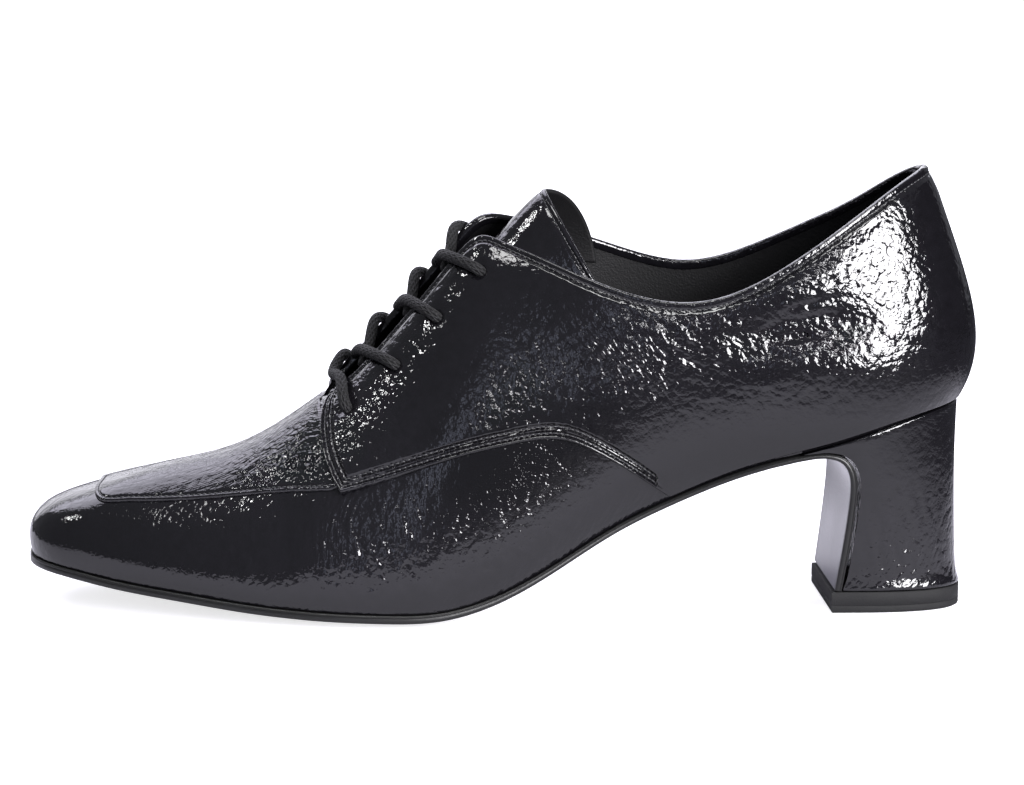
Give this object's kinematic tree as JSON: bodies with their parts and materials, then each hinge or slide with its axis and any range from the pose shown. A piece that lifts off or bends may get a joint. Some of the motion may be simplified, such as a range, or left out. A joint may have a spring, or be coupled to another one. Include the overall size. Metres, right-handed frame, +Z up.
{
  "type": "lace-up shoe",
  "caption": "Lace-up shoe for the left foot: hollow crinkled patent upper with raised apron, laced quarters, tongue, thin sole and a covered block heel.",
  "frame": {"origin": "on the floor, under the middle of the shoe's box", "axes": "+X from heel to toe, +Y to the outer side of the foot, +Z up"},
  "size_m": [0.2562, 0.0772, 0.1182],
  "materials": {
    "patent": "black crinkled patent, high gloss",
    "sole": "dark satin",
    "lining": "charcoal matte",
    "top_piece": "dark grey matte",
    "lace": "woven round cord, matte"
  },
  "bodies": {
    "root": {"upper": "patent", "apron": "patent", "quarter_outer": "patent", "quarter_inner": "patent", "tongue": "patent", "heel_block": "patent", "outsole": "sole", "insole": "lining", "heel_top_piece": "top_piece", "lace_bar": "lace", "lace_cross_1": "lace", "lace_cross_2": "lace", "lace_cross_3": "lace"}
  },
  "joints": []
}
